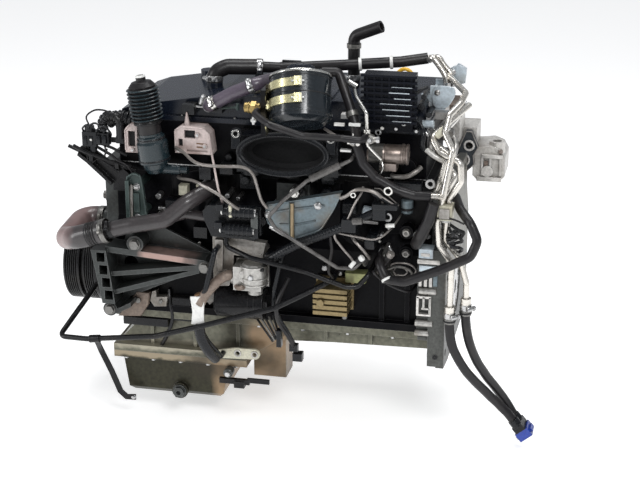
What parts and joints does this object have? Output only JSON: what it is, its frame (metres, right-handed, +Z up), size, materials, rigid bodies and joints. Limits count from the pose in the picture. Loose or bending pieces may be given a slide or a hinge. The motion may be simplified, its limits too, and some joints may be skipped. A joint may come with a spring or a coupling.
{
  "type": "van engine",
  "caption": "Inline van diesel engine on its gearbox flange, with belt drums, deep front sump, leaning fuel filter, oval air duct, side brackets, turbocharger and hanging coolant hoses.",
  "frame": {"origin": "crankshaft axis on the face that bolts to the gearbox bell", "axes": "+X along the crankshaft towards the gearbox, +Y from the intake side to the exhaust side, +Z up"},
  "size_m": [0.8219, 0.4873, 0.6596],
  "materials": {
    "cast_iron_black": "satin",
    "sump_cast": "matt",
    "steel": "satin",
    "cast_aluminium": "matt",
    "bracket_grey": "matt",
    "black_paint": "satin",
    "black_plastic": "matt",
    "filter_black": "gloss",
    "pale_plastic": "matt",
    "cap_black": "gloss",
    "cap_blue": "satin",
    "stick_yellow": "satin",
    "gold_band": "gloss",
    "cooler_brass": "matt",
    "cream_tab": "satin",
    "hose_rubber": "satin",
    "slate_plate": "satin",
    "hot_iron": "matt"
  },
  "bodies": {
    "engine": {"cylinder_block": "cast_iron_black", "front_cover": "cast_aluminium", "water_pump": "cast_aluminium", "bell_flange": "cast_aluminium", "upper_sump": "sump_cast", "lower_sump": "sump_cast", "drain_plug": "sump_cast", "cylinder_head": "cast_iron_black", "head_gasket": "steel", "cam_cover": "black_plastic", "oil_separator": "black_plastic", "large_bolts": "steel", "small_bolts": "steel", "mount_bracket": "bracket_grey", "cast_bracket": "bracket_grey", "heat_shield": "bracket_grey", "valve_block": "black_plastic", "water_outlet": "cast_aluminium", "oil_cooler": "cooler_brass", "oil_filter_housing": "black_paint", "lug_plate": "cream_tab", "air_duct": "black_plastic", "fuel_filter": "filter_black", "filter_clamps": "gold_band", "brass_union": "gold_band", "intake_bellows": "hose_rubber", "bellows_collar": "black_plastic", "actuator_covers": "pale_plastic", "front_shield": "bracket_grey", "loom_bracket": "black_paint", "front_loom": "black_plastic", "wiring_harness": "black_plastic", "coolant_hoses": "hose_rubber", "charge_hose": "hose_rubber", "breather_pipe": "black_plastic", "heater_hose": "hose_rubber", "filter_hoses": "hose_rubber", "rear_hoses": "hose_rubber", "rear_pipes": "steel", "pipe_bracket": "steel", "fuel_line": "steel", "return_line": "black_paint", "vacuum_line": "hose_rubber", "lower_pipe": "black_paint", "hose_clamps": "steel", "hanging_hose_a": "hose_rubber", "hanging_hose_b": "hose_rubber", "hose_fitting": "black_plastic", "hose_cap": "cap_blue", "port_plate": "slate_plate", "rear_housing": "cast_aluminium", "exhaust_manifold": "hot_iron", "turbo_housing": "cast_aluminium", "dipstick_tube": "black_paint"},
    "crank": {"crankshaft": "steel", "crank_damper": "black_paint"},
    "pump_rotor": {"pump_pulley": "black_paint"},
    "turbo_rotor": {"turbo_shaft": "steel"},
    "oil_cap": {"filler_cap": "cap_black"},
    "oil_stick": {"dipstick": "stick_yellow"}
  },
  "joints": [
    {"name": "crank_spin", "type": "hinge", "parent": "engine", "child": "crank", "pos_m": [0, 0, 0], "axis": [1, 0, 0], "continuous": true},
    {"name": "pump_spin", "type": "hinge", "parent": "engine", "child": "pump_rotor", "pos_m": [-0.6, 0.118, -0.015], "axis": [1, 0, 0], "continuous": true},
    {"name": "turbo_spin", "type": "hinge", "parent": "engine", "child": "turbo_rotor", "pos_m": [-0.3, 0.2, 0.186], "axis": [1, 0, 0], "continuous": true},
    {"name": "cap_twist", "type": "hinge", "parent": "engine", "child": "oil_cap", "pos_m": [-0.295, 0.055, 0.35], "axis": [0, 0, 1], "range_deg": [0, 90]},
    {"name": "stick_pull", "type": "slide", "parent": "engine", "child": "oil_stick", "axis": [0, 0, 1], "range_m": [0, 0.34]}
  ]
}
